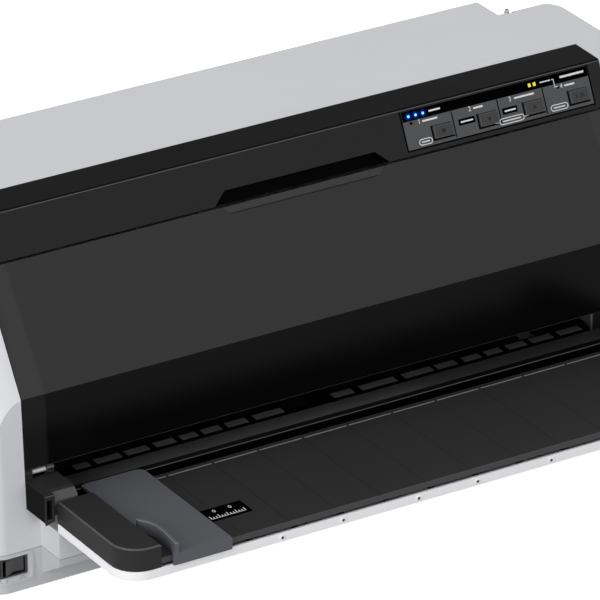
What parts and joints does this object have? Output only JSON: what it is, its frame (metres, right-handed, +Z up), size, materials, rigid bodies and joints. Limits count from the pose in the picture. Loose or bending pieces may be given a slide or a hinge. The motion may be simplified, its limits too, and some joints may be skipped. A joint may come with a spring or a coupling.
{
  "type": "dot matrix printer",
  "caption": "Flatbed dot matrix printer with a smoked front cover, a fold-up front paper table with an edge guide, push buttons, a rear tractor feed and a geared print mechanism.",
  "frame": {"origin": "middle of the printer's footprint, on the surface that its feet stand on", "axes": "+X to the printer's right as seen from the front, +Y to its rear, +Z up"},
  "size_m": [0.48, 0.37, 0.2102],
  "materials": {
    "white_case": "fine satin moulded plastic",
    "rubber_feet": "matte rubber",
    "black_case": "black, fine satin moulded plastic",
    "grey_panel": "dark grey satin inlay",
    "blue_lamp": "clear blue lamp window",
    "button_grey": "satin",
    "switch_black": "semi-gloss black",
    "smoked_cover": "smoked translucent plastic",
    "table_black": "black, fine grained plastic",
    "guide_grey": "slate grey satin plastic",
    "dark_guide": "dark grey plastic",
    "steel": "zinc plated steel",
    "bright_steel": "ground steel",
    "rubber_roller": "matte roller rubber",
    "gear_white": "natural acetal",
    "brass_gear": "turned brass",
    "motor_dark": "dark painted steel and laminations",
    "mechanism_black": "glass filled plastic",
    "head_metal": "die cast, finned",
    "belt_black": "toothed rubber belt",
    "ribbon_black": "inked woven ribbon",
    "lever_blue": "blue touch point plastic",
    "board_green": "printed circuit board",
    "port_metal": "plated shell"
  },
  "bodies": {
    "case": {"lower_case": "white_case", "upper_case": "white_case", "feet": "rubber_feet", "control_strip": "black_case", "panel_face": "grey_panel", "status_lamps": "blue_lamp", "switch_housing": "switch_black", "hinge_pins": "bright_steel", "paper_lip": "dark_guide", "paper_comb": "dark_guide", "paper_bed": "mechanism_black", "side_frames": "steel", "rear_beam": "steel", "guide_shaft": "bright_steel", "tractor_bar": "bright_steel", "feed_motor": "motor_dark", "motor_bracket": "steel", "drive_belt": "belt_black", "carriage_motor": "motor_dark", "ribbon_cartridge": "mechanism_black", "ribbon": "ribbon_black", "main_board": "board_green", "power_unit": "board_green", "ac_inlet": "switch_black", "data_ports": "port_metal", "case_screws": "bright_steel", "frame_screws": "bright_steel"},
    "cover": {"cover": "smoked_cover"},
    "table": {"table_top": "table_black", "table_tray": "white_case", "hinge_blocks": "table_black", "hinge_ears": "table_black"},
    "edge_guide": {"edge_guide": "guide_grey"},
    "button_1": {"button_1": "button_grey"},
    "button_2": {"button_2": "button_grey"},
    "button_3": {"button_3": "button_grey"},
    "button_4": {"button_4": "button_grey"},
    "power_rocker": {"power_rocker": "switch_black"},
    "platen": {"platen": "rubber_roller", "platen_shaft": "bright_steel"},
    "idler_front": {"idler_front": "gear_white"},
    "feed_front": {"feed_front": "rubber_roller"},
    "idler_rear": {"idler_rear": "gear_white"},
    "feed_rear": {"feed_rear": "rubber_roller"},
    "idler_tractor": {"idler_tractor": "gear_white"},
    "tractor_shaft": {"tractor_shaft": "steel"},
    "motor_pinion": {"motor_pinion": "brass_gear"},
    "tractor_left": {"tractor_left": "mechanism_black"},
    "tractor_right": {"tractor_right": "mechanism_black"},
    "tractor_lid_left": {"tractor_lid_left": "mechanism_black"},
    "tractor_lid_right": {"tractor_lid_right": "mechanism_black"},
    "rear_guide": {"rear_guide": "dark_guide"},
    "carriage": {"carriage": "mechanism_black", "print_head": "head_metal"},
    "pulley_left": {"pulley_left": "gear_white"},
    "pulley_right": {"pulley_right": "gear_white"},
    "ribbon_knob": {"ribbon_knob": "mechanism_black"},
    "gap_lever": {"gap_lever": "lever_blue"},
    "release_lever": {"release_lever": "black_case"}
  },
  "joints": [
    {"name": "cover_hinge", "type": "hinge", "parent": "case", "child": "cover", "pos_m": [0, -0.0797, 0.071], "axis": [1, 0, 0], "range_deg": [0, 75]},
    {"name": "table_fold", "type": "hinge", "parent": "case", "child": "table", "pos_m": [0, -0.0797, 0.071], "axis": [1, 0, 0], "range_deg": [-75, 0]},
    {"name": "edge_guide_slide", "type": "slide", "parent": "table", "child": "edge_guide", "axis": [1, 0, 0], "range_m": [0, 0.045]},
    {"name": "button_1_press", "type": "slide", "parent": "case", "child": "button_1", "axis": [0, 0.9041, -0.4273], "range_m": [0, 0.001], "stiffness_N_per_m": 300, "springref_m": -0.002},
    {"name": "button_2_press", "type": "slide", "parent": "case", "child": "button_2", "axis": [0, 0.9041, -0.4273], "range_m": [0, 0.001], "stiffness_N_per_m": 300, "springref_m": -0.002},
    {"name": "button_3_press", "type": "slide", "parent": "case", "child": "button_3", "axis": [0, 0.9041, -0.4273], "range_m": [0, 0.001], "stiffness_N_per_m": 300, "springref_m": -0.002},
    {"name": "button_4_press", "type": "slide", "parent": "case", "child": "button_4", "axis": [0, 0.9041, -0.4273], "range_m": [0, 0.001], "stiffness_N_per_m": 300, "springref_m": -0.002},
    {"name": "power_rocker_tilt", "type": "hinge", "parent": "case", "child": "power_rocker", "pos_m": [-0.22545, -0.0792, 0.0172], "axis": [0, 0, 1], "range_deg": [-14, 0]},
    {"name": "platen_spin", "type": "hinge", "parent": "case", "child": "platen", "pos_m": [0, -0.0127, 0.0417], "axis": [1, 0, 0], "continuous": true},
    {"name": "idler_front_spin", "type": "hinge", "parent": "case", "child": "idler_front", "pos_m": [-0.1935, -0.03621, 0.02842], "axis": [1, 0, 0], "continuous": true},
    {"name": "feed_front_spin", "type": "hinge", "parent": "case", "child": "feed_front", "pos_m": [0, -0.0477, 0.046], "axis": [1, 0, 0], "continuous": true},
    {"name": "idler_rear_spin", "type": "hinge", "parent": "case", "child": "idler_rear", "pos_m": [-0.1935, 0.01136, 0.02946], "axis": [1, 0, 0], "continuous": true},
    {"name": "feed_rear_spin", "type": "hinge", "parent": "case", "child": "feed_rear", "pos_m": [0, 0.0243, 0.046], "axis": [1, 0, 0], "continuous": true},
    {"name": "idler_tractor_spin", "type": "hinge", "parent": "case", "child": "idler_tractor", "pos_m": [-0.1935, 0.06477, 0.06195], "axis": [1, 0, 0], "continuous": true},
    {"name": "tractor_shaft_spin", "type": "hinge", "parent": "case", "child": "tractor_shaft", "pos_m": [0, 0.1063, 0.049], "axis": [1, 0, 0], "continuous": true},
    {"name": "motor_pinion_spin", "type": "hinge", "parent": "case", "child": "motor_pinion", "pos_m": [-0.1935, -0.01739, 0.06829], "axis": [1, 0, 0], "continuous": true},
    {"name": "tractor_left_slide", "type": "slide", "parent": "case", "child": "tractor_left", "axis": [1, 0, 0], "range_m": [-0.045, 0.06]},
    {"name": "tractor_right_slide", "type": "slide", "parent": "case", "child": "tractor_right", "axis": [1, 0, 0], "range_m": [-0.06, 0.045]},
    {"name": "tractor_lid_left_open", "type": "hinge", "parent": "tractor_left", "child": "tractor_lid_left", "pos_m": [-0.1276, 0.1113, 0.056], "axis": [0, -1, 0], "range_deg": [0, 100]},
    {"name": "tractor_lid_right_open", "type": "hinge", "parent": "tractor_right", "child": "tractor_lid_right", "pos_m": [0.1276, 0.1113, 0.056], "axis": [0, 1, 0], "range_deg": [0, 100]},
    {"name": "rear_guide_tilt", "type": "hinge", "parent": "case", "child": "rear_guide", "pos_m": [0, 0.1318, 0.036], "axis": [1, 0, 0], "range_deg": [0, 70]},
    {"name": "carriage_slide", "type": "slide", "parent": "case", "child": "carriage", "axis": [1, 0, 0], "range_m": [0, 0.28]},
    {"name": "pulley_left_spin", "type": "hinge", "parent": "case", "child": "pulley_left", "pos_m": [-0.16, 0.0423, 0.1035], "axis": [0, 0, 1], "continuous": true},
    {"name": "pulley_right_spin", "type": "hinge", "parent": "case", "child": "pulley_right", "pos_m": [0.16, 0.0423, 0.1035], "axis": [0, 0, 1], "continuous": true},
    {"name": "ribbon_knob_spin", "type": "hinge", "parent": "case", "child": "ribbon_knob", "pos_m": [-0.15, -0.0467, 0.11], "axis": [0, 0, 1], "continuous": true},
    {"name": "gap_lever_set", "type": "hinge", "parent": "case", "child": "gap_lever", "pos_m": [0.1825, -0.0177, 0.112], "axis": [1, 0, 0], "range_deg": [-12, 12]},
    {"name": "release_lever_set", "type": "hinge", "parent": "case", "child": "release_lever", "pos_m": [0.209, 0.0603, 0.084], "axis": [-1, 0, 0], "range_deg": [0, 10]}
  ],
  "couplings": [
    {"joint": "idler_front_spin", "follows": "platen_spin", "ratio": -2},
    {"joint": "feed_front_spin", "follows": "platen_spin", "ratio": 1.5},
    {"joint": "idler_rear_spin", "follows": "platen_spin", "ratio": -2},
    {"joint": "feed_rear_spin", "follows": "platen_spin", "ratio": 1.5},
    {"joint": "idler_tractor_spin", "follows": "platen_spin", "ratio": -0.57143},
    {"joint": "tractor_shaft_spin", "follows": "platen_spin", "ratio": 1.5},
    {"joint": "motor_pinion_spin", "follows": "platen_spin", "ratio": -2},
    {"joint": "pulley_left_spin", "follows": "carriage_slide", "rad_per_m": 131.58},
    {"joint": "pulley_right_spin", "follows": "carriage_slide", "rad_per_m": 131.58}
  ]
}
